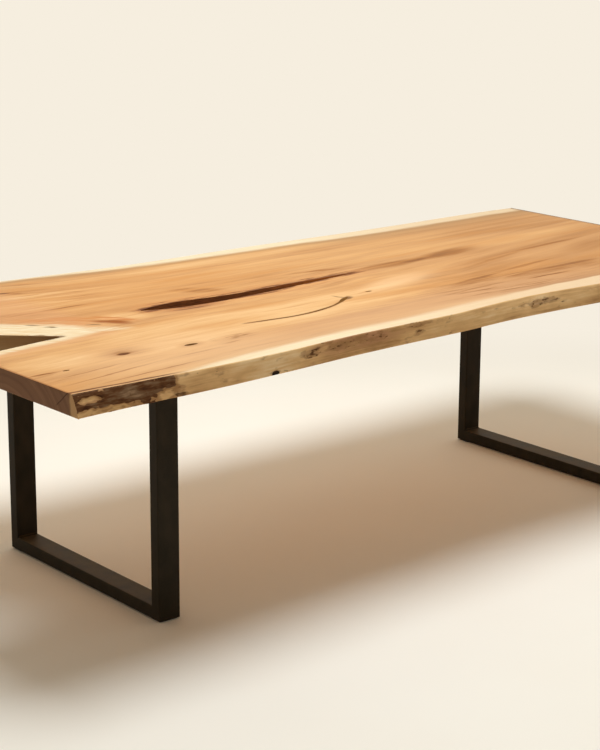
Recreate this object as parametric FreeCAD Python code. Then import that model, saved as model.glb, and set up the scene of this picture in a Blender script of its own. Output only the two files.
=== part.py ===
import FreeCAD
import Part
import math
import os

from FreeCAD import Vector

# Live edge dining table: one forked slab with both natural edges kept, on two U-shaped steel legs.
# Millimetres. X runs along the slab, Y across it and Z up from the floor. The origin lies on the
# floor midway between the legs. Left is -X, where the fork opens, and front is -Y.

# Whole table
table_height = 760.0
cut_overrun = 10.0

# Slab. Each row of a live edge gives a share of the length, the share of the half width that the
# underside reaches there, and the share of the thickness by which the top edge stands back.
slab_length = 2740.0
slab_half_width = 645.0
slab_thickness = 56.0
bulge_share = 0.05
middle_level_share = 0.5
front_edge_shares = [
    (-0.50, 1.000, 0.50),
    (-0.43, 0.980, 0.27),
    (-0.34, 0.963, 0.17),
    (-0.25, 0.932, 0.08),
    (-0.17, 0.897, 0.10),
    (-0.08, 0.872, 0.06),
    (0.00, 0.856, 0.10),
    (0.06, 0.830, 0.23),
    (0.12, 0.818, 0.32),
    (0.19, 0.820, 0.26),
    (0.28, 0.830, 0.25),
    (0.38, 0.845, 0.25),
    (0.50, 0.866, 0.25),
]
back_edge_shares = [
    (-0.50, 1.000, 0.24),
    (-0.40, 0.996, 0.18),
    (-0.31, 0.991, 0.13),
    (-0.22, 0.962, 0.13),
    (-0.14, 0.946, 0.13),
    (-0.06, 0.954, 0.13),
    (0.02, 0.964, 0.13),
    (0.10, 0.963, 0.13),
    (0.19, 0.956, 0.13),
    (0.28, 0.962, 0.13),
    (0.37, 0.978, 0.13),
    (0.44, 0.984, 0.13),
    (0.50, 0.974, 0.13),
]

# Fork notch, open at the left end
notch_depth = 306.0
notch_tip_y = -96.0
notch_front_y = -145.0
notch_back_y = 182.0
notch_tip_radius = 7.0

# Long bark inclusion, filled through the whole thickness, from its start behind the left end. Each
# row gives a share of its length and the shares of its width where its front and back sides lie.
inclusion_start = 650.0
inclusion_y = 34.0
inclusion_length = 860.0
inclusion_width = 64.0
inclusion_side_shares = [
    (0.00, 0.00, 0.00),
    (0.05, -0.26, 0.26),
    (0.14, -0.53, 0.47),
    (0.37, -0.53, 0.27),
    (0.60, -0.22, 0.42),
    (0.84, 0.25, 0.57),
    (1.00, 0.60, 0.60),
]

# Hook-shaped crack, filled to a shallow depth, from its start behind the left end. Each row gives
# a share of its length and of its rise for a point on its line, and the share of its width there.
crack_start = 780.0
crack_y = -274.0
crack_length = 460.0
crack_rise = 88.0
crack_width = 15.0
crack_depth = 20.0
crack_line_shares = [
    (0.00, 0.00, 0.00),
    (0.20, -0.10, 0.44),
    (0.42, -0.15, 0.48),
    (0.67, 0.09, 0.54),
    (0.85, 0.50, 0.70),
    (0.96, 0.88, 1.00),
    (1.00, 1.00, 0.00),
]

# Small knots, filled. Each row gives the place as shares of the slab's length and half width, and
# the share of the full knot size.
knot_length = 42.0
knot_width = 16.0
knot_depth = 12.0
knot_shares = [
    (-0.308, -0.592, 1.00),
    (-0.012, -0.260, 0.60),
    (-0.457, -0.639, 0.50),
]

# Legs, each standing in from its end of the slab
leg_overhang = 445.0
leg_width = 770.0
tube_width = 70.0
tube_depth = 38.0
tube_wall = 3.0
tube_corner_radius = 4.0
tube_bore_radius = 1.5
weld_size = 5.0
weld_crown_share = 0.57

# Top plates and the bolts that hold them
plate_width = 100.0
plate_thickness = 6.0
plate_corner_radius = 10.0
bolt_row_offset = 260.0
bolt_column_offset = 30.0
bolt_diameter = 8.0
bolt_length = 25.0
bolt_head_width = 13.0
bolt_head_height = 5.3
bolt_head_chamfer_share = 0.95
bolt_head_chamfer_angle = 30.0
bolt_hole_clearance = 0.5
slot_travel = 10.0
washer_diameter = 24.0
washer_thickness = 2.0
insert_diameter = 12.0
insert_length = 18.0
insert_sink = 0.5
insert_bore_spare = 2.0
thread_clearance = 0.1

# Floor glides
glide_width = 60.0
glide_length = 45.0
glide_thickness = 3.0
glide_corner_radius = 6.0
glide_end_inset = 5.0

# Levels and places that follow from the sizes above
slab_underside = table_height - slab_thickness
plate_underside = slab_underside - plate_thickness
washer_underside = plate_underside - washer_thickness
leg_outer_y = leg_width / 2
leg_inner_y = leg_outer_y - tube_depth
bar_top = glide_thickness + tube_depth
left_end = -slab_length / 2
inclusion_x = left_end + inclusion_start
crack_x = left_end + crack_start
leg_centre_x = slab_length / 2 - leg_overhang


def spline(points):
    curve = Part.BSplineCurve()
    curve.interpolate(points)
    return curve.toShape()


def rounded_plate(width, length, thickness, radius, centre):
    """A flat plate with round corners, standing on its centre point."""
    plate = Part.makeBox(width, length, thickness, centre - Vector(width / 2, length / 2, 0))
    uprights = [edge for edge in plate.Edges if abs(edge.tangentAt(edge.FirstParameter).z) > 0.5]
    return plate.makeFillet(radius, uprights)


def upright_prism(edges, bottom, height):
    """A straight prism over a closed outline drawn at floor level."""
    face = Part.Face(Part.Wire(Part.__sortEdges__(edges)))
    prism = face.extrude(Vector(0, 0, height))
    prism.translate(Vector(0, 0, bottom))
    return prism


def live_edge(edge_shares, side, level_share):
    """One natural edge at a level of the slab, from the left end to the right."""
    points = []
    for length_share, reach_share, setback_share in edge_shares:
        bulge = slab_thickness * bulge_share * 4 * level_share * (1 - level_share)
        reach = slab_half_width * reach_share - slab_thickness * setback_share * level_share + bulge
        level = slab_underside + slab_thickness * level_share
        points.append(Vector(slab_length * length_share, side * reach, level))
    return points


def slab_section(level_share):
    front = live_edge(front_edge_shares, -1, level_share)
    back = live_edge(back_edge_shares, 1, level_share)
    right = Part.makeLine(front[-1], back[-1])
    left = Part.makeLine(back[0], front[0])
    return Part.Wire([spline(front), right, spline(back[::-1]), left])


def notch_cutter():
    """The open fork: a V from the left end to its tip, round where the two walls meet."""
    mouth_x = left_end - cut_overrun
    tip = Vector(left_end + notch_depth, notch_tip_y, slab_underside - cut_overrun)
    reach_share = (notch_depth + cut_overrun) / notch_depth
    front = Vector(mouth_x, notch_tip_y + (notch_front_y - notch_tip_y) * reach_share, tip.z)
    back = Vector(mouth_x, notch_tip_y + (notch_back_y - notch_tip_y) * reach_share, tip.z)
    outline = Part.Face(Part.makePolygon([front, tip, back, front]))
    cutter = outline.extrude(Vector(0, 0, slab_thickness + 2 * cut_overrun))
    tip_edges = [edge for edge in cutter.Edges if edge.CenterOfMass.x > tip.x - cut_overrun]
    upright = [edge for edge in tip_edges if abs(edge.tangentAt(edge.FirstParameter).z) > 0.5]
    return cutter.makeFillet(notch_tip_radius, upright)


def inclusion_fill(bottom, height):
    """The long bark pocket between its front and back sides."""
    front = []
    back = []
    for length_share, front_share, back_share in inclusion_side_shares:
        x = inclusion_x + inclusion_length * length_share
        front.append(Vector(x, inclusion_y + inclusion_width * front_share, 0))
        back.append(Vector(x, inclusion_y + inclusion_width * back_share, 0))
    return upright_prism([spline(front), spline(back)], bottom, height)


def crack_fill(height):
    """The hook crack: a thin lens along its line, thickest near its right tip."""
    front = []
    back = []
    for length_share, rise_share, width_share in crack_line_shares:
        x = crack_x + crack_length * length_share
        y = crack_y + crack_rise * rise_share
        front.append(Vector(x, y - crack_width * width_share / 2, 0))
        back.append(Vector(x, y + crack_width * width_share / 2, 0))
    return upright_prism([spline(front), spline(back)], table_height - crack_depth, height)


def knot_fills(height):
    knots = []
    for length_share, width_share, size_share in knot_shares:
        centre = Vector(slab_length * length_share, slab_half_width * width_share, 0)
        long_end = centre + Vector(knot_length * size_share / 2, 0, 0)
        short_end = centre + Vector(0, knot_width * size_share / 2, 0)
        oval = Part.Ellipse(long_end, short_end, centre).toShape()
        knots.append(upright_prism([oval], table_height - knot_depth, height))
    return Part.makeCompound(knots)


def bolt_places(side):
    """Centres of one leg's bolts, and whether each passes a slot or a round hole."""
    places = []
    for column in (-1, 1):
        for row in (-1, 0, 1):
            x = side * leg_centre_x + column * bolt_column_offset
            places.append((Vector(x, row * bolt_row_offset, 0), row != 0))
    return places


def slab():
    levels = (0, middle_level_share, 1)
    plank = Part.makeLoft([slab_section(level_share) for level_share in levels], True, False)
    plank = plank.cut(notch_cutter())
    plank = plank.cut(inclusion_fill(slab_underside - cut_overrun, slab_thickness + 2 * cut_overrun))
    plank = plank.cut(crack_fill(crack_depth + cut_overrun))
    plank = plank.cut(knot_fills(knot_depth + cut_overrun))
    bore_depth = insert_sink + insert_length + insert_bore_spare
    bores = []
    for side in (-1, 1):
        for place, slotted in bolt_places(side):
            bottom = place + Vector(0, 0, slab_underside - cut_overrun)
            radius = insert_diameter / 2 + thread_clearance
            bores.append(Part.makeCylinder(radius, bore_depth + cut_overrun, bottom))
    return plank.cut(Part.makeCompound(bores))


def tube(length):
    """Rectangular tube standing on its end, with round corners inside and out."""
    foot = Vector(0, 0, 0)
    outside = rounded_plate(tube_width, tube_depth, length, tube_corner_radius, foot)
    bore_width = tube_width - 2 * tube_wall
    bore_depth = tube_depth - 2 * tube_wall
    bore_foot = Vector(0, 0, -cut_overrun)
    bore_length = length + 2 * cut_overrun
    bore = rounded_plate(bore_width, bore_depth, bore_length, tube_bore_radius, bore_foot)
    return outside.cut(bore)


def mitre_cutter(leg_x, end, keeps_post):
    """A wedge whose slanted face is the mitre between a post and the floor bar."""
    outer = Vector(0, leg_outer_y + cut_overrun, glide_thickness - cut_overrun)
    inner = Vector(0, leg_inner_y - cut_overrun, bar_top + cut_overrun)
    waste = Vector(0, inner.y, outer.z) if keeps_post else Vector(0, outer.y, inner.z)
    wedge = Part.Face(Part.makePolygon([outer, inner, waste, outer]))
    wedge = wedge.extrude(Vector(tube_width + 2 * cut_overrun, 0, 0))
    wedge.translate(Vector(-tube_width / 2 - cut_overrun, 0, 0))
    if end < 0:
        wedge = wedge.mirror(Vector(0, 0, 0), Vector(0, 1, 0))
    wedge.translate(Vector(leg_x, 0, 0))
    return wedge


def post(leg_x, end):
    upright = tube(plate_underside - glide_thickness)
    upright.translate(Vector(leg_x, end * (leg_outer_y - tube_depth / 2), glide_thickness))
    return upright.cut(mitre_cutter(leg_x, end, True))


def floor_bar(leg_x):
    bar = tube(leg_width)
    bar.rotate(Vector(0, 0, 0), Vector(1, 0, 0), -90)
    bar.translate(Vector(leg_x, -leg_outer_y, glide_thickness + tube_depth / 2))
    for end in (-1, 1):
        bar = bar.cut(mitre_cutter(leg_x, end, False))
    return bar


def weld_bead(corner, first, second, along, length):
    """A fillet bead in the corner between two faces, which lie along its first and second legs."""
    start = corner - along * (length / 2)
    low = start + first * weld_size
    crown = start + (first + second) * (weld_size * weld_crown_share)
    high = start + second * weld_size
    face_arc = Part.Arc(low, crown, high).toShape()
    section = Part.Wire([Part.makeLine(start, low), face_arc, Part.makeLine(high, start)])
    return Part.Face(section).extrude(along * length)


def welds(leg_x):
    up = Vector(0, 0, 1)
    along_x = Vector(1, 0, 0)
    along_y = Vector(0, 1, 0)
    flat_width = tube_width - 2 * tube_corner_radius
    flat_depth = tube_depth - 2 * tube_corner_radius
    beads = []
    for end in (-1, 1):
        inward = Vector(0, -end, 0)
        foot = Vector(leg_x, end * leg_inner_y, bar_top)
        head = Vector(leg_x, end * leg_inner_y, plate_underside)
        beads.append(weld_bead(foot, inward, up, along_x, flat_width))
        beads.append(weld_bead(head, inward, -up, along_x, flat_width))
        for flank in (-1, 1):
            outward = Vector(flank, 0, 0)
            middle_y = end * (leg_outer_y - tube_depth / 2)
            corner = Vector(leg_x + flank * tube_width / 2, middle_y, plate_underside)
            beads.append(weld_bead(corner, outward, -up, along_y, flat_depth))
    return Part.makeCompound(beads)


def top_plate(leg_x, side):
    centre = Vector(leg_x, 0, plate_underside)
    plate = rounded_plate(plate_width, leg_width, plate_thickness, plate_corner_radius, centre)
    hole_radius = bolt_diameter / 2 + bolt_hole_clearance
    hole_height = plate_thickness + 2 * cut_overrun
    for place, slotted in bolt_places(side):
        bottom = place + Vector(0, 0, plate_underside - cut_overrun)
        shift = Vector(0, slot_travel / 2, 0)
        if slotted:
            web_corner = bottom - shift - Vector(hole_radius, 0, 0)
            plate = plate.cut(Part.makeBox(2 * hole_radius, slot_travel, hole_height, web_corner))
            plate = plate.cut(Part.makeCylinder(hole_radius, hole_height, bottom - shift))
            plate = plate.cut(Part.makeCylinder(hole_radius, hole_height, bottom + shift))
        else:
            plate = plate.cut(Part.makeCylinder(hole_radius, hole_height, bottom))
    return plate


def bolts(side):
    """Hex bolts that come up through the plate, heads below the washers."""
    pieces = []
    corner_radius = bolt_head_width / 2 / math.cos(math.pi / 6)
    chamfer_radius = bolt_head_width / 2 * bolt_head_chamfer_share
    chamfer_spread = bolt_head_height / math.tan(math.radians(bolt_head_chamfer_angle))
    for place, slotted in bolt_places(side):
        foot = place + Vector(0, 0, washer_underside - bolt_head_height)
        corners = []
        for step in range(7):
            turn = step * math.pi / 3
            corners.append(foot + Vector(math.cos(turn), math.sin(turn), 0) * corner_radius)
        hexagon = Part.Face(Part.makePolygon(corners)).extrude(Vector(0, 0, bolt_head_height))
        cone = Part.makeCone(chamfer_radius, chamfer_radius + chamfer_spread, bolt_head_height, foot)
        shank_foot = place + Vector(0, 0, washer_underside)
        shank = Part.makeCylinder(bolt_diameter / 2, bolt_length, shank_foot)
        pieces.append(hexagon.common(cone).fuse(shank).removeSplitter())
    return Part.makeCompound(pieces)


def washers(side):
    pieces = []
    for place, slotted in bolt_places(side):
        foot = place + Vector(0, 0, washer_underside)
        disc = Part.makeCylinder(washer_diameter / 2, washer_thickness, foot)
        hole = Part.makeCylinder(bolt_diameter / 2 + thread_clearance, washer_thickness, foot)
        pieces.append(disc.cut(hole))
    return Part.makeCompound(pieces)


def inserts(side):
    """Threaded bushes let into the underside of the slab."""
    pieces = []
    for place, slotted in bolt_places(side):
        foot = place + Vector(0, 0, slab_underside + insert_sink)
        bush = Part.makeCylinder(insert_diameter / 2, insert_length, foot)
        thread = Part.makeCylinder(bolt_diameter / 2 + thread_clearance, insert_length, foot)
        pieces.append(bush.cut(thread))
    return Part.makeCompound(pieces)


def glides(leg_x):
    pads = []
    for end in (-1, 1):
        middle_y = end * (leg_outer_y - glide_end_inset - glide_length / 2)
        centre = Vector(leg_x, middle_y, 0)
        pads.append(rounded_plate(glide_width, glide_length, glide_thickness, glide_corner_radius, centre))
    return Part.makeCompound(pads)


nodes = {
    "slab": slab(),
    "inclusion_fill": inclusion_fill(slab_underside, slab_thickness),
    "crack_fill": crack_fill(crack_depth),
    "knot_fills": knot_fills(knot_depth),
}
for leg_name, leg_side in (("left_leg", -1), ("right_leg", 1)):
    centre_x = leg_side * leg_centre_x
    nodes[leg_name + "_front_post"] = post(centre_x, -1)
    nodes[leg_name + "_rear_post"] = post(centre_x, 1)
    nodes[leg_name + "_floor_bar"] = floor_bar(centre_x)
    nodes[leg_name + "_top_plate"] = top_plate(centre_x, leg_side)
    nodes[leg_name + "_welds"] = welds(centre_x)
    nodes[leg_name + "_bolts"] = bolts(leg_side)
    nodes[leg_name + "_washers"] = washers(leg_side)
    nodes[leg_name + "_inserts"] = inserts(leg_side)
    nodes[leg_name + "_glides"] = glides(centre_x)

os.makedirs("parts", exist_ok=True)
for node_name, shape in nodes.items():
    shape.exportStep("parts/" + node_name + ".step")
    box = shape.BoundBox
    lowest = [round(value, 2) for value in (box.XMin, box.YMin, box.ZMin)]
    highest = [round(value, 2) for value in (box.XMax, box.YMax, box.ZMax)]
    print(node_name, shape.isValid(), len(shape.Solids), round(shape.Volume), lowest, highest)
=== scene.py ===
import math

import bmesh
import bpy
from mathutils import Matrix, Vector, noise


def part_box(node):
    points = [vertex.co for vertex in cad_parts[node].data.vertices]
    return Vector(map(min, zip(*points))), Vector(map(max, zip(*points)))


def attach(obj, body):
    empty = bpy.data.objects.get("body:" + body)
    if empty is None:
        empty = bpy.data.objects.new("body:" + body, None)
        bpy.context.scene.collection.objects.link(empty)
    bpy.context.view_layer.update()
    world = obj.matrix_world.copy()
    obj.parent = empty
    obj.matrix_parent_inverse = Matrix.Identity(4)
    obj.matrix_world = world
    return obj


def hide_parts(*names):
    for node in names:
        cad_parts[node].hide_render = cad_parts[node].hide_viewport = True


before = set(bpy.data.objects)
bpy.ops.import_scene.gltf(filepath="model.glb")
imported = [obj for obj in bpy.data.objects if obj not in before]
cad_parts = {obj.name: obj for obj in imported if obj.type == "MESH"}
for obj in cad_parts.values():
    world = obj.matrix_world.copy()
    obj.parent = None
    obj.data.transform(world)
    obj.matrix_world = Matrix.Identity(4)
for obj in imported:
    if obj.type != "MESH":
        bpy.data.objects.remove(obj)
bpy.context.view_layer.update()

# The slab is one plank sawn through a forked trunk and left unedged, so that both sides keep the
# shape that grew under the bark. Its faces are planed, sanded and oiled, its ends are saw cuts, and
# its arrises are eased by hand. The wall round it is cut into fine rows to carry the wood's relief.
slab_low, slab_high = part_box("slab")
slab_thickness = slab_high.z - slab_low.z
wall_column = 0.008
wall_rows = 14
wall_lean = 0.85
square_cut = 0.999
arris_radius = 0.0025
arris_row_shares = (0.13, 0.5, 1.0)
bark_bare_x, bark_full_x = -1.045, -1.09
same_place = 1e-5
face_slot, wall_slot, end_slot = 0, 1, 2
along_slab = Vector((1, 0, 0))
upward = Vector((0, 0, 1))


def outer_wall(shape):
    """The faces that go round the outside of the slab, without the walls of its pockets."""
    found = {max(shape.faces, key=lambda face: face.calc_center_median().x)}
    still_to_search = list(found)
    while still_to_search:
        for edge in still_to_search.pop().edges:
            for face in edge.link_faces:
                if abs(face.normal.z) < wall_lean and face not in found:
                    found.add(face)
                    still_to_search.append(face)
    return list(found)


def cut_wall(shape, geometry, direction, places):
    """Cuts the wall with a plane at each place along a direction."""
    for place in places:
        geometry = bmesh.ops.bisect_plane(
            shape, geom=geometry, dist=same_place / 10, plane_co=direction * place, plane_no=direction
        )["geom"]
    return geometry


def is_stray(edge):
    """Whether an edge of the wall runs neither along a column nor along a row."""
    if any(face.material_index == face_slot for face in edge.link_faces):
        return False
    run = edge.verts[1].co - edge.verts[0].co
    on_end = slab_high.x - abs(edge.verts[0].co.x) < same_place
    across = run.y if on_end and abs(run.x) < same_place else run.x
    return abs(across) > same_place and abs(run.z) > same_place


plank = bmesh.new()
plank.from_mesh(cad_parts["slab"].data)
bmesh.ops.remove_doubles(plank, verts=plank.verts, dist=same_place)
for face in plank.faces:
    face.material_index = face_slot
wall = outer_wall(plank)
for face in wall:
    face.material_index = wall_slot
column_count = round((slab_high.x - slab_low.x) / wall_column)
column_step = (slab_high.x - slab_low.x) / column_count
row_step = (slab_thickness - 2 * arris_radius) / wall_rows
column_places = [slab_low.x + column_step * step for step in range(1, column_count)]
column_places += [place - column_step / 2 for place in column_places if place < bark_bare_x]
row_places = [slab_low.z + arris_radius + row_step * step for step in range(1, wall_rows)]
for share in arris_row_shares:
    row_places.append(slab_low.z + arris_radius * share)
    row_places.append(slab_high.z - arris_radius * share)
wall_points = {point for face in wall for point in face.verts}
wall_edges = {edge for face in wall for edge in face.edges}
geometry = cut_wall(plank, [*wall_points, *wall_edges, *wall], along_slab, column_places)
cut_wall(plank, geometry, upward, row_places)
strays = [edge for edge in plank.edges if is_stray(edge)]
bmesh.ops.dissolve_edges(plank, edges=strays, use_verts=True)

# The relief of the wall: the live edges wander a little and show their fibres, and bark is left in
# plates at the front of the left end, with bare wood a little deeper between them. The arrises are
# rounded above and below, and the fork is a V between two walls that meet at its tip.
bark_depth = 0.003
bark_front_y, bark_back_y = -0.5, -0.4
bark_share = 0.64
bark_thin, bark_whole = 0.34, 0.60
patch_core, patch_rim = 0.3, 1.4
fork_tip = Vector((-1.064, -0.096))
fork_front = Vector((slab_low.x, -0.145))
fork_back = Vector((slab_low.x, 0.182))
# Each row gives the depth of a ripple or its share of bark, its length, its height and a seed
edge_ripples = [(0.0022, 0.22, 0.12, 1.0), (0.0007, 0.06, 0.006, 3.0)]
bark_ripples = [(0.26, 0.10, 0.022, 5.0), (0.46, 0.026, 0.011, 9.0), (0.30, 0.013, 0.007, 13.0)]
# Each patch gives X, Z, half length and half height of an oval, and how much more bark it has
bark_patches = [
    (-1.200, 0.735, 0.100, 0.030, 0.30),
    (-1.082, 0.750, 0.036, 0.014, 0.50),
    (-1.322, 0.740, 0.050, 0.008, -0.42),
    (-1.325, 0.711, 0.070, 0.013, -0.60),
    (-1.245, 0.710, 0.060, 0.010, -0.75),
    (-1.094, 0.716, 0.034, 0.016, -0.66),
]


def rise(value, low, high):
    """Goes smoothly from 0 at low to 1 at high."""
    share = min(max((value - low) / (high - low), 0.0), 1.0)
    return share * share * (3 - 2 * share)


def ripple(place, length, height, seed):
    """Unevenness that is longer along the trunk than it is high, from about -1 to 1."""
    return noise.noise(Vector((place.x / length, place.y / length + seed, place.z / height)))


def bark_zone(place):
    """1 where bark was left on at all, and 0 elsewhere."""
    return rise(place.x, bark_bare_x, bark_full_x) * rise(place.y, bark_back_y, bark_front_y)


def bark_plates(place):
    """How much bark was left at a place on the wall: none at 0, and whole plates above about 0.5."""
    plates = bark_share
    for strength, length, height, seed in bark_ripples:
        plates += strength * ripple(place, length, height, seed)
    for x, z, half_length, half_height, strength in bark_patches:
        reach = math.hypot((place.x - x) / half_length, (place.z - z) / half_height)
        plates += strength * rise(reach, patch_rim, patch_core)
    return bark_zone(place) * plates


def hollow(place):
    """How far a place on the wall lies behind the smooth outline of the slab."""
    depth = 0.0
    for most, length, height, seed in edge_ripples:
        depth += most * (0.5 + 0.5 * ripple(place, length, height, seed))
    return depth + bark_depth * (bark_zone(place) - rise(bark_plates(place), bark_thin, bark_whole))


def easing(height):
    """How far the rounded arris lies behind the wall at a height, above or below."""
    depth = min(height - slab_low.z, slab_high.z - height, arris_radius)
    return arris_radius - math.sqrt(max(arris_radius**2 - (arris_radius - depth) ** 2, 0))


def way_out(point, slot):
    """The level direction out of the slab, through the faces of one kind at a point."""
    total = sum((face.normal for face in point.link_faces if face.material_index == slot), Vector())
    total.z = 0
    return total.normalized()


for face in plank.faces:
    if face.material_index == wall_slot and abs(face.normal.x) > square_cut:
        face.material_index = end_slot
    face.smooth = face.material_index != face_slot
for edge in plank.edges:
    edge.smooth = len({face.material_index for face in edge.link_faces} - {face_slot}) < 2
bark_layer = plank.verts.layers.float.new("bark")
moves = []
for point in plank.verts:
    edge_out = way_out(point, wall_slot)
    end_out = way_out(point, end_slot)
    if end_out.length > 0 and edge_out.length > 0:
        edge_out.x = 0
        edge_out.normalize()
    point[bark_layer] = bark_plates(point.co)
    inward = edge_out * hollow(point.co) + (edge_out + end_out) * easing(point.co.z)
    moves.append((point, inward))
for point, inward in moves:
    point.co -= inward

# The planed faces above and below are closed again, between the moved rims of the wall and the rims
# of the pockets. The fill works to a fixed tolerance, so it is done at a larger scale.
fill_scale = 10000
for level, side in ((slab_low.z, -upward), (slab_high.z, upward)):
    flats = []
    for face in plank.faces:
        if all(abs(point.co.z - level) < same_place for point in face.verts):
            flats.append(face)
    bmesh.ops.delete(plank, geom=flats, context="FACES")
    rim = [edge for edge in plank.edges if edge.is_boundary]
    bmesh.ops.scale(plank, vec=[fill_scale] * 3, verts=plank.verts)
    bmesh.ops.triangle_fill(plank, use_beauty=True, edges=rim, normal=side)
    bmesh.ops.scale(plank, vec=[1 / fill_scale] * 3, verts=plank.verts)
plank.normal_update()

slab_mesh = bpy.data.meshes.new("live_edge_slab")
plank.to_mesh(slab_mesh)
plank.free()
live_edge_slab = bpy.data.objects.new("live_edge_slab", slab_mesh)
bpy.context.scene.collection.objects.link(live_edge_slab)
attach(live_edge_slab, "root")
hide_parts("slab")

# The oiled faces: brown heartwood, pale sapwood along both live edges and round the fork, and grain
# that comes together from the two limbs of the fork and then rises to the back towards the right end.


def colour(red, green, blue):
    """A colour given as it looks on a screen, 0 to 255, in the units that a shader takes."""
    shares = [part / 255 for part in (red, green, blue)]
    return (*[part / 12.92 if part < 0.04 else ((part + 0.055) / 1.055) ** 2.4 for part in shares], 1.0)


class Reading:
    """A number that a finish works out at each point of a surface, for use in sums."""

    def __init__(self, finish, socket):
        self.finish = finish
        self.socket = socket

    def __add__(self, other):
        return self.finish.sum("ADD", self, other)

    def __sub__(self, other):
        return self.finish.sum("SUBTRACT", self, other)

    def __mul__(self, other):
        return self.finish.sum("MULTIPLY", self, other)

    def __truediv__(self, other):
        return self.finish.sum("DIVIDE", self, other)

    def __abs__(self):
        return self.finish.sum("ABSOLUTE", self, 0.0)

    def swing(self, strength):
        """How far a reading from 0 to 1 swings about its middle, times a strength."""
        return (self - 0.5) * strength


class Finish:
    """A material made of nodes, with plain words for the patterns that the table's finishes share."""

    def __init__(self, name, roughness, specular=0.5, metallic=0.0):
        self.material = bpy.data.materials.new(name)
        self.material.use_nodes = True
        self.tree = self.material.node_tree
        self.shader = self.tree.nodes["Principled BSDF"]
        self.shader.inputs["Roughness"].default_value = roughness
        self.shader.inputs["Specular IOR Level"].default_value = specular
        self.shader.inputs["Metallic"].default_value = metallic
        self.place = self.node("TexCoord", {}).outputs["Object"]
        split = self.node("SeparateXYZ", {0: self.place})
        self.x, self.y, self.z = [Reading(self, output) for output in split.outputs]

    def node(self, kind, inputs, **settings):
        """A new node with its settings, and its inputs by name or number."""
        made = self.tree.nodes.new("ShaderNode" + kind)
        for name, value in settings.items():
            setattr(made, name, value)
        for name, value in inputs.items():
            self.feed(made.inputs[name], value)
        return made

    def feed(self, socket, value):
        """Links a reading or an output to an input, or sets the input to a plain value."""
        value = value.socket if isinstance(value, Reading) else value
        if isinstance(value, bpy.types.NodeSocket):
            self.tree.links.new(value, socket)
        else:
            socket.default_value = value

    def sum(self, operation, first, second):
        """The result of one step of arithmetic on two readings or numbers."""
        return Reading(self, self.node("Math", {0: first, 1: second}, operation=operation).outputs[0])

    def between(self, value, low, high):
        """Goes smoothly from 0 where the value is low to 1 where it is high."""
        inputs = {"Value": value, "From Min": low, "From Max": high}
        made = self.node("MapRange", inputs, interpolation_type="SMOOTHSTEP")
        return Reading(self, made.outputs[0])

    def cloud(self, first, second, third, detail=2.0, roughness=0.5):
        """Noise from 0 to 1 on three readings that are already divided by the size of its spots."""
        place = self.node("CombineXYZ", {0: first, 1: second, 2: third}).outputs[0]
        inputs = {"Vector": place, "Scale": 1.0, "Detail": detail, "Roughness": roughness}
        return Reading(self, self.node("TexNoise", inputs).outputs[0])

    def mottle(self, length, width, height, shift=0.0, **fineness):
        """Noise in spots of a size along X, Y and Z, moved up by a shift so that no two are alike."""
        return self.cloud(self.x / length, self.y / width, self.z / height + shift, **fineness)

    def along(self, points):
        """A value that changes along the slab, drawn smoothly through a few points of X and value."""
        start, end = points[0][0], points[-1][0]
        low = min(value for x, value in points)
        span = max(value for x, value in points) - low
        made = self.node("FloatCurve", {"Value": (self.x - start) / (end - start)})
        curve = made.mapping.curves[0]
        shares = [((x - start) / (end - start), (value - low) / span) for x, value in points]
        curve.points[0].location = shares[0]
        curve.points[1].location = shares[-1]
        for share in shares[1:-1]:
            curve.points.new(*share)
        made.mapping.extend = "HORIZONTAL"
        made.mapping.update()
        return Reading(self, made.outputs[0]) * span + low

    def spot(self, place, centre, halves, slope=0.0):
        """A soft oval round a centre, 1 in its middle and 0 outside, turned to a slope in plan."""
        turn = (0, 0, math.atan(slope))
        inputs = {"Vector": place, "Location": centre, "Rotation": turn, "Scale": halves}
        moved = self.node("Mapping", inputs, vector_type="TEXTURE").outputs[0]
        made = self.node("TexGradient", {0: moved}, gradient_type="SPHERICAL")
        return self.between(made.outputs[1], 0.0, 0.7)

    def tones(self, value, stops):
        """Colours along a scale: each stop is a place on it and a colour."""
        made = self.node("ValToRGB", {0: value})
        ramp = made.color_ramp
        for number, (position, shade) in enumerate(stops):
            stop = ramp.elements[number] if number < 2 else ramp.elements.new(position)
            stop.position = position
            stop.color = shade
        return made.outputs[0]

    def paint(self, under, over, cover):
        """One colour over another, as thick as the cover, from 0 to 1."""
        made = self.node("Mix", {0: cover, 6: under, 7: over}, data_type="RGBA")
        return made.outputs[2]

    def layers(self, shade, coats):
        """Several coats painted over a colour in turn, each given as its colour and its cover."""
        for over, cover in coats:
            shade = self.paint(shade, over, cover)
        return shade

    def coat(self, shade, roughness=None, height=None, depth=0.0):
        """Gives the shader its colour, and its roughness and its relief where these vary."""
        self.feed(self.shader.inputs["Base Color"], shade)
        if roughness is not None:
            self.feed(self.shader.inputs["Roughness"], roughness)
        if height is not None:
            bump = self.node("Bump", {"Height": height, "Distance": depth})
            self.feed(self.shader.inputs["Normal"], bump.outputs[0])


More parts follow.
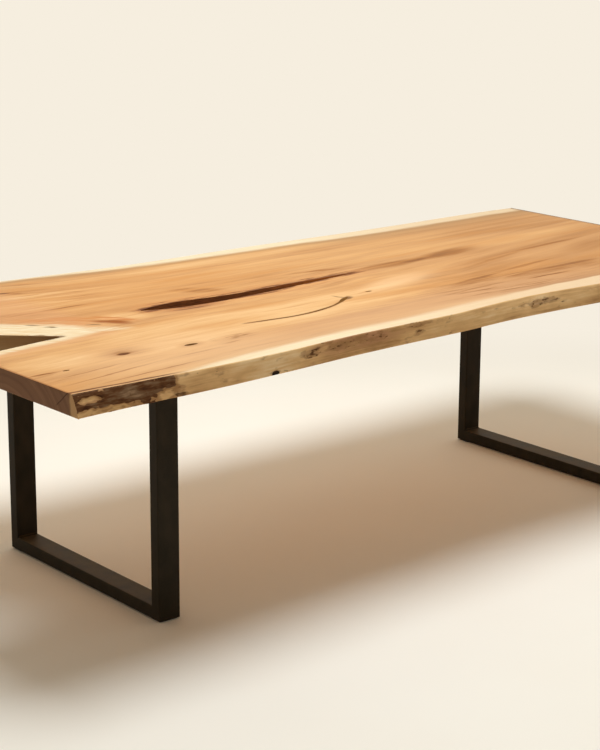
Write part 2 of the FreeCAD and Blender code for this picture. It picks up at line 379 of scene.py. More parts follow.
wood = Finish("oiled_heartwood", roughness=0.5, specular=0.02)
heart_line = [
    (-1.37, 0.030), (-0.72, 0.034), (-0.30, 0.035), (0.14, 0.072), (0.70, 0.150), (1.37, 0.270),
]
limb_spread = [(-1.37, 1.32), (-0.90, 1.12), (-0.45, 1.00), (1.37, 1.0)]
grain_strength = [(-1.37, 0.60), (-0.70, 0.76), (-0.20, 0.66), (0.40, 0.36), (0.90, 0.11), (1.37, 0.07)]
sway = wood.mottle(0.55, 0.16, 0.3) - 0.5
curl = wood.mottle(0.17, 0.05, 0.1) - 0.5
shiver = wood.mottle(0.09, 0.02, 0.05) - 0.5
middle = wood.between(wood.y, -0.45, 0.05) * wood.between(wood.y, 0.60, 0.15)
grain = (wood.y - wood.along(heart_line) * middle) / wood.along(limb_spread)
grain = grain + sway * 0.05 + curl * 0.010 + shiver * 0.004


def grain_cloud(length, width, height, shift=0.0, **fineness):
    """Noise drawn out along the grain, in spots of a length, width and height."""
    return wood.cloud(wood.x / length, grain / width, wood.z / height + shift, **fineness)


broad = grain_cloud(0.8, 0.075, 0.20)
bands = grain_cloud(0.32, 0.030, 0.10, shift=3.0)
swathes = grain_cloud(0.45, 0.045, 0.10, shift=37.0)
flecks = grain_cloud(0.09, 0.010, 0.03, shift=5.0, detail=3.0, roughness=0.6)
lines = grain_cloud(0.22, 0.0075, 0.05, shift=7.0, detail=4.0, roughness=0.6)
hairs = grain_cloud(0.10, 0.0016, 0.02, shift=11.0)
pores = grain_cloud(0.014, 0.0011, 0.01, shift=17.0, detail=1.0)
warmth = grain_cloud(0.50, 0.055, 0.10, shift=23.0)
dark_streaks = wood.between(grain_cloud(0.30, 0.012, 0.05, shift=29.0), 0.60, 0.70)
pale_streaks = wood.between(grain_cloud(0.28, 0.018, 0.05, shift=31.0), 0.58, 0.72)
fine = bands.swing(0.54) + flecks.swing(0.30) + lines.swing(0.34) + hairs.swing(0.12)
fine = fine - dark_streaks * 0.13 + pale_streaks * 0.10

# Where the heartwood is paler or darker than its middle tone. Each row gives X, Y, half length, half
# width, slope and strength: broad fields, whose dark rows over the right half are partly painted shade
# where the light falls off towards the right end, then the streak that carries on from the inclusion
# and the long thin lines of the two ends, and last the knots and smudges.
mark_depth = 0.05
broad_fields_and_shade = [
    (-0.50, -0.23, 0.80, 0.19, 0.06, 0.15),
    (-1.00, -0.33, 0.50, 0.20, 0.10, 0.04),
    (-1.15, -0.42, 0.24, 0.10, 0.10, -0.06),
    (-1.34, -0.43, 0.16, 0.12, 0.0, -0.06),
    (-0.70, -0.40, 0.13, 0.04, 0.15, -0.10),
    (0.0, 0.50, 0.55, 0.10, 0.0, 0.08),
    (0.12, -0.11, 0.22, 0.060, 0.32, 0.24),
    (0.42, -0.02, 0.24, 0.060, 0.20, 0.06),
    (0.95, 0.18, 0.50, 0.10, 0.08, 0.13),
    # The dark fields over the right half, here and below, are the wood's own darker tone with painted
    # shade where the light falls off towards the right end.
    (0.90, 0.0, 0.75, 0.45, 0.0, -0.12),
    (0.95, 0.53, 0.80, 0.16, 0.0, -0.10),
    (1.08, 0.35, 0.50, 0.13, 0.0, -0.12),
    (0.50, -0.33, 0.70, 0.13, 0.0, -0.12),
    (0.36, -0.16, 0.45, 0.12, 0.25, -0.10),
    (-0.35, 0.12, 0.60, 0.08, 0.0, -0.08),
    (-0.79, 0.0, 0.10, 0.060, -0.60, 0.22),
    (-0.72, 0.17, 0.24, 0.09, -0.20, -0.03),
    (-0.55, 0.01, 0.34, 0.06, 0.0, -0.08),
    (0.25, 0.17, 0.35, 0.10, 0.10, -0.06),
    (0.32, -0.39, 0.50, 0.07, 0.03, -0.12),
    (0.10, -0.36, 0.55, 0.12, 0.05, -0.06),
    (0.70, -0.28, 0.45, 0.20, 0.0, -0.07),
    (-1.23, -0.32, 0.18, 0.10, 0.10, 0.16),
]
long_lines = [
    (-0.885, 0.386, 0.150, 0.018, -0.08, 0.26),
    (-0.842, 0.287, 0.090, 0.014, -0.26, 0.20),
    (-0.905, 0.460, 0.070, 0.014, -0.80, -0.15),
    (-0.731, 0.374, 0.060, 0.009, -0.60, -0.18),
    (-1.020, 0.200, 0.160, 0.040, -0.60, -0.10),
    (0.27, 0.093, 0.22, 0.042, 0.10, -0.23),
    (0.40, 0.105, 0.08, 0.024, 0.10, -0.12),
    (0.57, 0.130, 0.21, 0.050, 0.18, -0.22),
    (0.0, 0.166, 0.11, 0.012, -0.05, -0.16),
    (0.06, 0.152, 0.09, 0.010, -0.15, -0.14),
    (0.36, -0.228, 0.15, 0.014, 0.20, -0.15),
    (0.62, -0.176, 0.20, 0.015, 0.15, -0.17),
    (0.62, -0.040, 0.24, 0.014, 0.28, -0.10),
    (0.93, 0.035, 0.30, 0.013, 0.12, -0.12),
    (0.74, -0.245, 0.22, 0.014, 0.04, -0.14),
    (0.28, -0.33, 0.15, 0.010, 0.12, -0.14),
    (0.60, -0.325, 0.15, 0.010, 0.05, -0.16),
    (-0.06, -0.03, 0.14, 0.018, 0.20, -0.13),
    (-1.16, -0.505, 0.22, 0.007, 0.17, -0.28),
    (-1.06, -0.548, 0.22, 0.006, 0.12, -0.26),
    (-1.20, -0.455, 0.14, 0.006, 0.15, -0.22),
    (-0.86, -0.462, 0.20, 0.006, 0.12, -0.22),
    (-0.72, -0.500, 0.18, 0.005, 0.10, -0.20),
]
knots_and_smudges = [
    (-0.425, 0.158, 0.120, 0.050, -0.62, -0.22),
    (-0.70, -0.380, 0.100, 0.034, 0.10, -0.14),
    (-0.74, -0.425, 0.06, 0.008, 0.15, -0.24),
    (-1.03, -0.350, 0.110, 0.060, 0.0, -0.20),
    (-1.038, -0.354, 0.052, 0.030, 0.0, -0.12),
    (-1.046, -0.360, 0.026, 0.017, 0.0, -0.26),
    (-0.844, -0.380, 0.065, 0.034, 0.1, -0.30),
    (-0.86, 0.404, 0.06, 0.008, -0.12, -0.26),
    (-1.325, -0.412, 0.060, 0.008, 0.06, -0.32),
    (-0.05, -0.168, 0.05, 0.010, 0.2, -0.20),
]
wavy_shift = wood.node("CombineXYZ", {0: sway * 0.05, 1: sway * 0.03 + shiver * 0.014}).outputs[0]
wavy_place = wood.node("VectorMath", {0: wood.place, 1: wavy_shift}, operation="ADD").outputs[0]


def face_spot(x, y, half_length, half_width, slope):
    """A soft oval on the top face, shallow enough to leave the underside as it is."""
    halves = (half_length, half_width, mark_depth)
    return wood.spot(wavy_place, (x, y, slab_high.z), halves, slope)


back_limb = face_spot(-1.05, 0.34, 0.60, 0.26, 0.0)
front_half = face_spot(0.45, -0.32, 1.00, 0.17, 0.05)
liveliness = wood.along(grain_strength) + back_limb * 0.7 + front_half * 0.46
tone = broad.swing(0.48) + fine * liveliness + 0.485
tone = tone + swathes.swing(back_limb * 0.7 + 0.15) + broad.swing(back_limb) * 0.8
for x, y, half_length, half_width, slope, strength in broad_fields_and_shade + long_lines + knots_and_smudges:
    tone = tone + face_spot(x, y, half_length, half_width, slope) * strength
unmarked = wood.between(tone, 0.06, 0.32)
amber = wood.between(warmth, 0.48, 0.72) * 0.45 + face_spot(-0.65, 0.26, 0.80, 0.34, 0.0) * 0.40
rosy = face_spot(-0.10, -0.45, 1.30, 0.19, 0.08) * 0.70
blond = face_spot(-0.92, -0.42, 0.48, 0.24, 0.05) * 0.35
blond = blond + face_spot(0.14, -0.11, 0.28, 0.085, 0.30) * 0.40
smudge = face_spot(-0.70, -0.379, 0.100, 0.032, 0.0) * wood.between(flecks, 0.45, 0.60)
heartwood = wood.tones(tone, [
    (0.0, colour(104, 57, 18)),
    (0.22, colour(166, 110, 58)),
    (0.40, colour(198, 145, 93)),
    (0.56, colour(215, 163, 107)),
    (0.74, colour(227, 182, 129)),
    (1.0, colour(238, 203, 157)),
])
heartwood = wood.layers(heartwood, [
    (colour(204, 142, 79), amber * unmarked),
    (colour(204, 157, 115), rosy * unmarked),
    (colour(230, 187, 143), blond * unmarked),
    (colour(152, 104, 56), smudge * 0.85),
])

# Round the fork the grain turns to follow its two walls. Behind its tip it makes a flame of orange
# brown with a dark core, and before it a rosy rim.


def wall_distance(corner):
    """How far a point lies from the fork's wall that runs from its tip to a corner, into the wood."""
    run = (corner - fork_tip).normalized()
    normal = Vector((run.y, -run.x)) if corner.y > fork_tip.y else Vector((-run.y, run.x))
    return (wood.x - fork_tip.x) * normal.x + (wood.y - fork_tip.y) * normal.y


behind_fork = wall_distance(fork_back)
before_fork = wall_distance(fork_front)
along_fork = (wood.x - wood.y) * 0.7
flames = wood.cloud(along_fork / 0.11, behind_fork / 0.012 + curl * 1.5, wood.z / 0.05, detail=3.0)
flame_field = face_spot(-0.950, 0.050, 0.24, 0.062, -0.72) * wood.between(flames, 0.38, 0.56)
flame_core = face_spot(-0.858, -0.030, 0.080, 0.030, -1.20) * wood.between(flames, 0.18, 0.38)
flame_tip = face_spot(-0.832, 0.0, 0.085, 0.022, -1.35) * wood.between(flames, 0.30, 0.55)
flame_gleam = face_spot(-0.845, 0.002, 0.050, 0.010, -0.80)
fork_rim = wood.between(before_fork + curl * 0.03, 0.090, 0.055) * wood.between(wood.x, -0.86, -0.96)
heartwood = wood.layers(heartwood, [
    (colour(198, 122, 54), flame_field * 0.85),
    (colour(190, 104, 36), flame_tip * 0.85),
    (colour(146, 74, 8), flame_core * 0.90),
    (colour(228, 168, 112), flame_gleam * 0.75),
    (colour(212, 156, 112), fork_rim * lines * 0.8),
])

# The sapwood: pale along both live edges, with a darker line where it meets the heartwood, and pale
# round the fork, with a few small dark marks and a darker lip along its walls near its tip. Both strips
# along the live edges are painted darker towards the right, as painted shade where the light falls off.
# The ends are darker too, where the saw cuts drank oil. Each line gives X and Y along the inner side of
# the sapwood.
front_sapwood_line = [
    (-1.37, -0.640), (-1.10, -0.620), (-1.00, -0.596), (-0.80, -0.552), (-0.60, -0.530), (-0.40, -0.512),
    (-0.20, -0.497), (0.0, -0.475), (0.30, -0.444), (0.60, -0.432), (1.00, -0.430), (1.37, -0.435),
]
back_sapwood_line = [
    (-1.37, 0.640), (-0.83, 0.610), (-0.61, 0.581), (-0.39, 0.556), (-0.02, 0.545), (0.25, 0.541),
    (0.52, 0.529), (0.82, 0.538), (1.15, 0.550), (1.37, 0.556),
]
fork_marks = [(-1.060, 0.066), (-1.030, 0.015), (-0.918, -0.030), (-1.215, 0.180)]
pale = wood.tones(lines * 0.5 + flecks * 0.3 + hairs * 0.2, [
    (0.30, colour(223, 196, 156)),
    (0.52, colour(232, 212, 178)),
    (0.75, colour(239, 225, 198)),
])
# Painted shade: the sapwood of both live edges grows darker towards the right end, where the light falls
# off.
front_pale_shaded = wood.paint(pale, colour(218, 184, 146), wood.between(wood.x, -0.70, 0.40) * 0.75)
back_pale_shaded = wood.paint(pale, colour(222, 190, 152), wood.between(wood.x, 0.0, 1.0) * 0.6)
fork_pale = wood.paint(pale, colour(220, 180, 122), wood.between(flames, 0.48, 0.64) * 0.5)
edge_wobble = sway * 0.03 + shiver * 0.012
front_offset = wood.y - wood.along(front_sapwood_line) + edge_wobble
back_offset = wood.y - wood.along(back_sapwood_line) + edge_wobble
front_softness = wood.between(wood.x, 0.50, 0.10) * 0.024 + 0.010
front_sapwood = wood.between(front_offset / front_softness, 0.35, -0.65) * 0.8
front_sapwood = front_sapwood + wood.between(front_offset, 0.060, -0.030) * 0.2
front_line = wood.between(front_offset, 0.034, 0.010) * wood.between(wood.x, 0.15, 0.50)
back_sapwood = wood.between(back_offset, -0.008, 0.024)
back_line = wood.between(back_offset, -0.040, -0.008)
back_dusk = wood.between(back_offset, -0.13, -0.02) * wood.between(wood.x, 0.05, 0.60)
right_line = wood.between(wood.x + shiver * 0.010, slab_high.x - 0.032, slab_high.x - 0.012)
left_line = wood.between(wood.x, slab_low.x + 0.013, slab_low.x + 0.005)
fork_edge = sway * 0.05 + curl * 0.03 + flames.swing(0.05)
fork_taper = wood.between(wood.y, 0.06, 0.18) * 0.020
fork_sapwood = wood.between(behind_fork + fork_edge + fork_taper, 0.160, 0.096)
fork_sapwood = fork_sapwood * wood.between(wood.x, -0.925, -0.985)
fork_sapwood = fork_sapwood * wood.between(before_fork + fork_edge * 0.4, 0.056, 0.020)
fork_tail = face_spot(-0.925, -0.084, 0.115, 0.034, -0.50) * wood.between(flecks, 0.20, 0.55)
fork_lip = wood.between(behind_fork + flecks.swing(0.040), 0.012, 0.002)
fork_lip = fork_lip * wood.between(before_fork, 0.014, 0.002)
fork_lip = fork_lip * wood.between(wood.x, -1.140, -1.105) * wood.between(wood.x, -1.046, -1.056)
shade = wood.layers(heartwood, [
    (colour(178, 140, 98), back_dusk * 0.42),
    (colour(172, 132, 90), back_line * 0.62),
    (colour(164, 112, 70), front_line * 0.70),
    (front_pale_shaded, front_sapwood),
    (back_pale_shaded, back_sapwood),
    (colour(176, 136, 100), right_line * 0.50),
    (colour(150, 88, 44), left_line * 0.65),
    (fork_pale, wood.sum("MAXIMUM", fork_sapwood, fork_tail * 0.85)),
])
for x, y in fork_marks:
    shade = wood.paint(shade, colour(128, 98, 60), face_spot(x, y, 0.028, 0.008, -0.75) * 0.9)
shade = wood.paint(shade, colour(118, 84, 48), fork_lip * 0.85)

# Stain from the bark: round the crack, with a spur and a wide mouth at its right end, and round the
# inclusion, with a splinter line before it. A dark seam with a paler lip runs along the front edge of
# the left end, and dark pores lie over all. Each line gives X and Y along a side of the fill.
crack_line = [
    (-0.59, -0.274), (-0.498, -0.283), (-0.397, -0.287), (-0.282, -0.266), (-0.199, -0.230),
    (-0.148, -0.197), (-0.13, -0.186),
]
inclusion_front_line = [
    (-0.72, 0.034), (-0.677, 0.017), (-0.60, 0.0), (-0.402, 0.0), (-0.204, 0.020), (0.002, 0.050),
    (0.14, 0.072),
]
inclusion_back_line = [
    (-0.72, 0.034), (-0.677, 0.051), (-0.60, 0.064), (-0.402, 0.051), (-0.204, 0.061), (0.002, 0.070),
    (0.14, 0.072),
]
seam_y = -0.600
lip_inner_y, lip_outer_y = -0.607, -0.611
crack_offset = abs(wood.y - wood.along(crack_line)) + shiver * 0.006
crack_span = wood.between(wood.x, -0.60, -0.57) * wood.between(wood.x, -0.118, -0.130)
crack_stain = wood.between(crack_offset, 0.012, 0.002) * crack_span
crack_stain = crack_stain * wood.between(wood.z, slab_low.z, slab_high.z)
crack_spur = face_spot(-0.155, -0.176, 0.036, 0.006, -3.3)
crack_mouth = face_spot(-0.146, -0.202, 0.034, 0.015, 0.40)
before_inclusion = wood.along(inclusion_front_line) - wood.y
after_inclusion = wood.y - wood.along(inclusion_back_line)
beside_inclusion = wood.sum("MAXIMUM", before_inclusion, after_inclusion)
beside_inclusion = beside_inclusion + shiver * 0.024 + flecks.swing(0.120)
inclusion_span = wood.between(wood.x, -0.76, -0.71) * wood.between(wood.x, 0.22, 0.10)
warm_halo = wood.between(beside_inclusion, 0.060, 0.0) * inclusion_span
stain = wood.between(beside_inclusion, 0.018, -0.002) * inclusion_span
stain = stain + face_spot(-0.690, 0.043, 0.045, 0.024, -0.10)
bruise = face_spot(-0.57, -0.024, 0.15, 0.028, 0.0) * wood.between(flecks, 0.30, 0.62)
splinter = face_spot(-0.572, -0.030, 0.085, 0.009, 0.02)
seam_reach = wood.between(wood.x, -1.00, -1.10)
seam = wood.between(abs(wood.y - seam_y + shiver * 0.012), 0.008, 0.002) * seam_reach
lip = wood.between(wood.y, lip_inner_y, lip_outer_y) * seam_reach
shade = wood.layers(shade, [
    (colour(150, 98, 54), crack_stain * 0.75),
    (colour(124, 84, 44), crack_spur * 0.8),
    (colour(116, 76, 36), crack_mouth * 0.85),
    (colour(200, 128, 70), warm_halo * 0.45),
    (colour(104, 54, 24), stain * 0.80),
    (colour(164, 108, 70), bruise * 0.7),
    (colour(104, 60, 38), splinter * 0.75),
    (colour(96, 50, 24), seam * 0.85),
    (colour(220, 176, 126), lip * 0.6),
    (colour(150, 92, 52), wood.between(pores, 0.66, 0.80) * 0.28),
])
wood_roughness = hairs.swing(0.20) + bands.swing(0.10) + 0.43
wood.coat(shade, wood_roughness, height=hairs * 0.6 + pores * 0.4, depth=0.00012)

# The live edges: sapwood that was peeled of its bark, golden and fibrous, with smudges of bark and
# worm marks. At the front of the left end bark is left on it. The fork's walls are browner.
# Each mark gives X, Z, half length, half height and strength.
edge = Finish("peeled_live_edge", roughness=0.65, specular=0.08)
through_slab = 10.0
edge_marks = [
    (-1.055, 0.724, 0.036, 0.022, 0.35),
    (-1.050, 0.709, 0.040, 0.009, 0.60),
    (-0.735, 0.710, 0.026, 0.012, 0.45),
    (-0.610, 0.742, 0.060, 0.020, 0.45),
    (-0.530, 0.745, 0.110, 0.026, 0.32),
    (-0.410, 0.742, 0.140, 0.028, 0.40),
    (-0.190, 0.755, 0.120, 0.014, 0.50),
    (-0.180, 0.731, 0.040, 0.016, 0.30),
    (0.370, 0.738, 0.070, 0.015, 0.42),
    (0.318, 0.728, 0.030, 0.008, 0.40),
    (0.86, 0.735, 0.140, 0.022, 0.30),
    (1.12, 0.722, 0.070, 0.015, 0.30),
]


def edge_spot(x, z, half_length, half_height):
    """A soft oval on the live edges, seen from the front or the back."""
    return edge.spot(edge.place, (x, 0, z), (half_length, through_slab, half_height))


edge_sway = edge.mottle(0.20, 0.20, 0.05) - 0.5
fibre = edge.mottle(0.16, 0.16, 0.006, shift=edge_sway * 2.0, detail=3.0)
patch = edge.mottle(0.10, 0.10, 0.030, shift=4.0, detail=3.0, roughness=0.6)
ragged = edge.mottle(0.045, 0.045, 0.016, shift=6.0, detail=3.0)
speck = edge.mottle(0.016, 0.016, 0.006, shift=8.0)
field = edge.mottle(0.24, 0.24, 0.08, shift=2.0)
edge_tone = fibre.swing(0.7) + patch.swing(0.7) + field.swing(0.8) + 0.52
brown_stretch = edge_spot(-0.38, 0.74, 0.26, 0.06)
pale_stretch = edge_spot(-0.74, 0.74, 0.24, 0.08)
edge_tone = edge_tone - brown_stretch * 0.30 + pale_stretch * 0.22
edge_shade = edge.tones(edge_tone, [
    (0.15, colour(172, 128, 82)),
    (0.42, colour(211, 166, 113)),
    (0.62, colour(226, 183, 128)),
    (0.90, colour(240, 207, 160)),
])
front_side = edge.between(edge.y, -0.40, -0.48)
rosy_stretch = edge_spot(-0.42, 0.746, 0.24, 0.036) * front_side * edge.between(patch, 0.36, 0.60)
smudges = ragged.swing(1.4) + patch.swing(0.8) + speck.swing(0.2) + fibre.swing(0.6)
for x, z, half_length, half_height, strength in edge_marks:
    smudges = smudges + edge_spot(x, z, half_length, half_height) * front_side * strength
dark_specks = edge.between(speck + smudges * 0.45, 0.78, 0.90)
worm_hole = edge_spot(-0.734, 0.709, 0.020, 0.010) * front_side
worm_hole = edge.between(worm_hole + ragged.swing(0.7) + speck.swing(0.6), 0.36, 0.56)
fork_wall = edge.spot(edge.place, (-1.25, 0.02, slab_high.z), (0.34, 0.30, 0.5))
bark = Reading(edge, edge.node("Attribute", {}, attribute_name="bark").outputs["Fac"])
bark_edge = edge.between(bark + speck.swing(0.5) + ragged.swing(0.7), 0.40, 0.52)
bark_grain = edge.mottle(0.05, 0.05, 0.008, shift=12.0, detail=3.0, roughness=0.6)
bark_tone = bark_grain.swing(1.2) + ragged.swing(1.0) + 0.44
bark_tone = bark_tone + edge_spot(-1.20, 0.737, 0.07, 0.020) * 0.22
bark_shade = edge.tones(bark_tone, [
    (0.18, colour(62, 32, 14)),
    (0.42, colour(96, 60, 32)),
    (0.66, colour(122, 92, 66)),
    (0.94, colour(162, 130, 98)),
])
stained = edge.between(abs(bark) + ragged.swing(0.6), 0.02, 0.32)
edge_shade = edge.layers(edge_shade, [
    (colour(184, 130, 96), rosy_stretch * 0.75),
    (colour(150, 106, 68), edge.between(smudges, 0.20, 0.44) * 0.55),
    (colour(96, 64, 38), edge.between(smudges, 0.50, 0.74) * 0.75),
    (colour(84, 52, 28), dark_specks * 0.8),
    (colour(34, 20, 10), worm_hole * front_side),
    (colour(140, 104, 68), edge.between(fork_wall, 0.0, 0.2) * 0.8),
    (colour(162, 116, 74), stained * 0.75),
    (bark_shade, bark_edge),
])
edge_relief = fibre * 0.6 + speck * 0.2 + bark_grain * 0.2
edge.coat(edge_shade, patch.swing(0.3) + 0.62, height=edge_relief, depth=0.0008)

# The saw cuts across the ends: growth rings round the heart of each limb, darker than the faces
# because end grain drinks more oil, with a paler strip of sapwood at the live edges. A drying check
# runs down across the front corner of the left end.
end_grain = Finish("oiled_end_grain", roughness=0.6, specular=0.08)
limb_heart_y, heart_depth = 0.42, 0.13
front_limb_shift = 0.74
ring_flatness = 1.4
check_place = Vector((slab_low.x, -0.550, 0.722))
check_normal = Vector((0, 0.63, 0.777))
on_left = end_grain.between(end_grain.x, 0.05, -0.05)
on_front_limb = on_left * end_grain.between(end_grain.y, 0.05, -0.05)
ring_y = end_grain.y - on_left * limb_heart_y + on_front_limb * front_limb_shift
ring_z = end_grain.z - (slab_high.z - heart_depth)
ring_sway = end_grain.mottle(0.1, 0.07, 0.05) - 0.5
ring_place = end_grain.node("CombineXYZ", {0: ring_y, 1: ring_z * ring_flatness}).outputs[0]
ring_length = end_grain.node("VectorMath", {0: ring_place}, operation="LENGTH").outputs["Value"]
ring_radius = Reading(end_grain, ring_length) + ring_sway * 0.012
rings = end_grain.cloud(ring_radius / 0.0045, 0.0, 0.0)
wide_rings = end_grain.cloud(ring_radius / 0.022, 5.0, 0.0, detail=1.0)
end_pores = end_grain.mottle(0.1, 0.0013, 0.0013, detail=1.0)
saw_marks = end_grain.cloud(end_grain.y / 0.0022, end_grain.z / 0.4, 2.0, detail=1.0)
check_y = end_grain.y - check_place.y
check_z = end_grain.z - check_place.z
check_offset = abs(check_y * check_normal.y + check_z * check_normal.z + ring_sway * 0.006)
drying_check = end_grain.between(check_offset, 0.0028, 0.0006) * on_left
drying_check = drying_check * end_grain.between(check_y, 0.010, -0.002)
rim_y = end_grain.y + ring_sway * 0.02 - (end_grain.z - slab_high.z) * 0.09
end_front = end_grain.between(rim_y, -0.600, -0.610)
end_back = end_grain.between(end_grain.y + ring_sway * 0.02, 0.598, 0.614)
end_tone = rings.swing(0.5) + wide_rings.swing(0.7) + end_pores.swing(0.25) + 0.5
end_shade = end_grain.tones(end_tone, [
    (0.15, colour(96, 65, 46)),
    (0.45, colour(122, 86, 62)),
    (0.65, colour(134, 97, 71)),
    (0.90, colour(154, 115, 86)),
])
end_shade = end_grain.layers(end_shade, [
    (colour(66, 42, 28), drying_check * 0.75),
    (colour(200, 158, 110), end_front * 0.85),
    (colour(208, 172, 126), end_back * 0.8),
])
end_relief = saw_marks * 0.5 + end_pores * 0.5
end_grain.coat(end_shade, rings.swing(0.2) + 0.56, height=end_relief, depth=0.0003)

for finish in (wood, edge, end_grain):
    slab_mesh.materials.append(finish.material)

# The fills: the bark inclusion, the hook crack and the knots were cleaned out, poured full of dark
# resin over what bark was left, and sanded flush with the top. The thin fills let wood show through.


def fill_finish(name, stops):
    """Dark resin with streaks of bark in it, lighter towards the thin end of the inclusion."""
    made = Finish(name, roughness=0.5, specular=0.0)
    drift = made.mottle(0.12, 0.02, 0.05) - 0.5
    streaks = made.cloud(made.x / 0.16, made.y / 0.006 + drift * 2.0, made.z / 0.02, detail=3.0)
    lumps = made.mottle(0.03, 0.012, 0.02, shift=5.0)
    thinness = streaks.swing(0.9) + lumps.swing(0.6) + 0.42
    thinness = thinness + made.between(made.x, -0.45, 0.10) * 0.34
    made.coat(made.tones(thinness, stops), lumps.swing(0.3) + 0.36, height=streaks, depth=0.0004)
    return made


def dress(names, finish):
    """Gives a finish to pieces of the frame whose shape needs no more."""
    for name in names:
        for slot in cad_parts[name].material_slots:
            slot.material = finish.material


inclusion_resin = fill_finish("dark_resin", [
    (0.15, colour(44, 22, 12)),
    (0.42, colour(68, 36, 18)),
    (0.65, colour(94, 50, 24)),
    (0.95, colour(136, 74, 30)),
])
thin_resin = fill_finish("brown_resin", [
    (0.20, colour(76, 50, 24)),
    (0.70, colour(124, 86, 46)),
])
dress(["inclusion_fill"], inclusion_resin)
dress(["crack_fill", "knot_fills"], thin_resin)

# The legs: each is a U of rectangular steel tube under a flat top plate, welded, ground and powder
# coated black. The coat has a fine orange peel, and where it faces up it is painted lighter: a little
# dust, and a painted sheen of the bright room on the tops of the bars.
legs = ("left_leg", "right_leg")
coated = ("front_post", "rear_post", "floor_bar", "top_plate", "welds")
powder_coat = Finish("black_powder_coat", roughness=0.50, specular=0.05)
peel = powder_coat.mottle(0.0016, 0.0016, 0.0016, detail=1.0)
scuffs = powder_coat.mottle(0.05, 0.05, 0.09, detail=3.0)
normal = powder_coat.node("NewGeometry", {}).outputs["True Normal"]
facing = powder_coat.node("SeparateXYZ", {0: normal})
# Painted lighter where the coat faces up: partly dust, partly a painted sheen for the light on the tops
# of the bars.
dust_and_sheen = powder_coat.between(Reading(powder_coat, facing.outputs[2]), 0.6, 1.0) * (scuffs * 0.8 + 0.1)
coat_shade = powder_coat.tones(scuffs.swing(0.8) + peel.swing(0.3) + 0.5, [
    (0.25, colour(38, 33, 25)),
    (0.75, colour(57, 49, 38)),
])
coat_shade = powder_coat.paint(coat_shade, colour(124, 106, 76), dust_and_sheen * 0.72)
powder_coat.coat(coat_shade, scuffs.swing(0.25) + 0.50, height=peel, depth=0.0002)
dress([f"{leg}_{piece}" for leg in legs for piece in coated], powder_coat)

# The bolts and washers that hold each top plate up against the slab: turned and stamped steel with a
# bright zinc plate. The bolts come up through the plate into the inserts.
zinc = Finish("bright_zinc", roughness=0.32, metallic=1.0)
spangle = zinc.mottle(0.004, 0.004, 0.004)
lathe_lines = zinc.mottle(0.010, 0.010, 0.0006, shift=3.0, detail=1.0)
zinc_shade = zinc.tones(spangle, [
    (0.3, colour(176, 180, 184)),
    (0.55, colour(204, 207, 208)),
    (0.75, colour(214, 210, 196)),
])
zinc.coat(zinc_shade, spangle.swing(0.4) + 0.34, height=lathe_lines, depth=0.00005)
dress([f"{leg}_{piece}" for leg in legs for piece in ("bolts", "washers")], zinc)

# The threaded inserts, which take the bolts: turned brass, driven into bores in the underside of the
# slab, and a little tarnished.
brass = Finish("turned_brass", roughness=0.30, metallic=1.0)
tarnish = brass.mottle(0.006, 0.006, 0.006)
turning = brass.mottle(0.02, 0.02, 0.0005, detail=1.0)
brass_shade = brass.tones(tarnish, [(0.3, colour(176, 136, 70)), (0.7, colour(222, 184, 112))])
brass.coat(brass_shade, tarnish.swing(0.4) + 0.32, height=turning, depth=0.00005)
dress([f"{leg}_inserts" for leg in legs], brass)

# The glides: thin pads of matte black plastic, moulded with a fine grain and stuck under the ends of
# each floor bar, where the table stands on them.
glide = Finish("matte_glide", roughness=0.72, specular=0.3)
mould_grain = glide.mottle(0.0012, 0.0012, 0.0012)
wear = glide.mottle(0.02, 0.02, 0.02)
glide_shade = glide.tones(wear, [(0.3, colour(30, 29, 28)), (0.7, colour(50, 48, 46))])
glide.coat(glide_shade, wear.swing(0.2) + 0.72, height=mould_grain, depth=0.0002)
dress([f"{leg}_glides" for leg in legs], glide)

# The studio: a cream floor that runs into a cream surround with no line between them, one large soft
# lamp high over the table, and a dim warm light from all round that is brightest at the far right.
cream = colour(246, 238, 223)
floor_reach = 30.0
floor_edge_near, floor_edge_far = 2.4, 4.2
backdrop_near, backdrop_far = 1.6, 2.6
backdrop_direction = (0.63, 0.78, 0.0)
backdrop_full = 0.9
backdrop_strength = 1.40
ambient_shade = (1.0, 0.90, 0.72, 1.0)
ambient_strength = 0.20
lamp_place = Vector((0.0, -0.16, 4.8))
lamp_size = 2.5
lamp_power = 170.0
lamp_shade = (0.91, 0.97, 1.0)


def seen_directly(tree):
    """1 for the camera, mirrors and glass, and 0 for the light that surfaces scatter."""
    path = tree.nodes.new("ShaderNodeLightPath")
    total = path.outputs["Is Camera Ray"]
    for name in ("Is Glossy Ray", "Is Transmission Ray"):
        both = tree.nodes.new("ShaderNodeMath")
        both.operation = "MAXIMUM"
        tree.links.new(total, both.inputs[0])
        tree.links.new(path.outputs[name], both.inputs[1])
        total = both.outputs[0]
    return total


sheet = bmesh.new()
bmesh.ops.create_grid(sheet, x_segments=8, y_segments=8, size=floor_reach)
floor_mesh = bpy.data.meshes.new("floor")
sheet.to_mesh(floor_mesh)
sheet.free()
floor = bpy.data.objects.new("floor", floor_mesh)
bpy.context.scene.collection.objects.link(floor)
paper = Finish("cream_paper", roughness=0.9, specular=0.0)
paper_tone = paper.mottle(0.6, 0.6, 0.6)
paper.coat(paper.tones(paper_tone, [(0.2, colour(250, 244, 235)), (0.8, colour(252, 247, 239))]))
flat_place = paper.node("CombineXYZ", {0: paper.x, 1: paper.y}).outputs[0]
from_table = paper.node("VectorMath", {0: flat_place}, operation="LENGTH").outputs["Value"]
behind_table = paper.x * backdrop_direction[0] + paper.y * backdrop_direction[1]
far_off = paper.sum(
    "MAXIMUM",
    paper.between(from_table, floor_edge_near, floor_edge_far),
    paper.between(behind_table, backdrop_near, backdrop_far),
)
glow = paper.node("Emission", {"Color": cream})
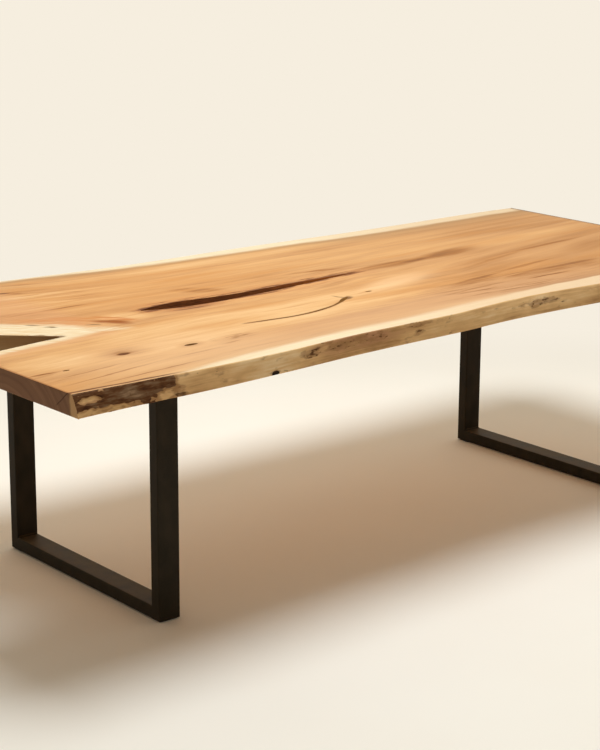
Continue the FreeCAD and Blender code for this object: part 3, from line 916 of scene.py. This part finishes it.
far_share = far_off * Reading(paper, seen_directly(paper.tree))
blend = paper.node("MixShader", {0: far_share, 1: paper.shader.outputs[0], 2: glow.outputs[0]})
paper.feed(paper.tree.nodes["Material Output"].inputs["Surface"], blend.outputs[0])
floor_mesh.materials.append(paper.material)

world = bpy.data.worlds.new("studio")
world.use_nodes = True
bpy.context.scene.world = world
sky = world.node_tree
surround = sky.nodes["Background"]
surround.inputs["Color"].default_value = ambient_shade
direction = sky.nodes.new("ShaderNodeTexCoord")
towards_backdrop = sky.nodes.new("ShaderNodeVectorMath")
towards_backdrop.operation = "DOT_PRODUCT"
towards_backdrop.inputs[1].default_value = backdrop_direction
sky.links.new(direction.outputs["Generated"], towards_backdrop.inputs[0])
brighter = sky.nodes.new("ShaderNodeMapRange")
brighter.interpolation_type = "SMOOTHSTEP"
brighter.inputs["From Max"].default_value = backdrop_full
brighter.inputs["To Min"].default_value = ambient_strength
brighter.inputs["To Max"].default_value = backdrop_strength
sky.links.new(towards_backdrop.outputs["Value"], brighter.inputs["Value"])
sky.links.new(brighter.outputs[0], surround.inputs["Strength"])
backdrop = sky.nodes.new("ShaderNodeBackground")
backdrop.inputs["Color"].default_value = cream
either = sky.nodes.new("ShaderNodeMixShader")
sky.links.new(seen_directly(sky), either.inputs[0])
sky.links.new(surround.outputs[0], either.inputs[1])
sky.links.new(backdrop.outputs[0], either.inputs[2])
sky.links.new(either.outputs[0], sky.nodes["World Output"].inputs["Surface"])

lamp_data = bpy.data.lights.new("key_lamp", "AREA")
lamp_data.shape = "DISK"
lamp_data.size = lamp_size
lamp_data.energy = lamp_power
lamp_data.color = lamp_shade
key_lamp = bpy.data.objects.new("key_lamp", lamp_data)
key_lamp.location = lamp_place
key_lamp.rotation_euler = lamp_place.to_track_quat("Z", "Y").to_euler()
bpy.context.scene.collection.objects.link(key_lamp)

# The camera stands before the left end, well above the table top, and looks along it to the right
# through a long lens. Its place, turn and lens were solved from the straight edges of the table.
camera_position = Vector((-3.749, -4.387, 1.971))
camera_yaw = math.radians(39.302)
camera_pitch = math.radians(14.667)
camera_roll = math.radians(0.337)
camera_lens = 92.22

camera_data = bpy.data.cameras.new("camera")
camera_data.lens = camera_lens
camera = bpy.data.objects.new("camera", camera_data)
bpy.context.scene.collection.objects.link(camera)
turn = Matrix.Rotation(-camera_yaw, 4, "Z") @ Matrix.Rotation(math.pi / 2 - camera_pitch, 4, "X")
camera.matrix_world = Matrix.Translation(camera_position) @ turn @ Matrix.Rotation(camera_roll, 4, "Z")
bpy.context.scene.camera = camera
bpy.context.scene.view_settings.view_transform = "Standard"
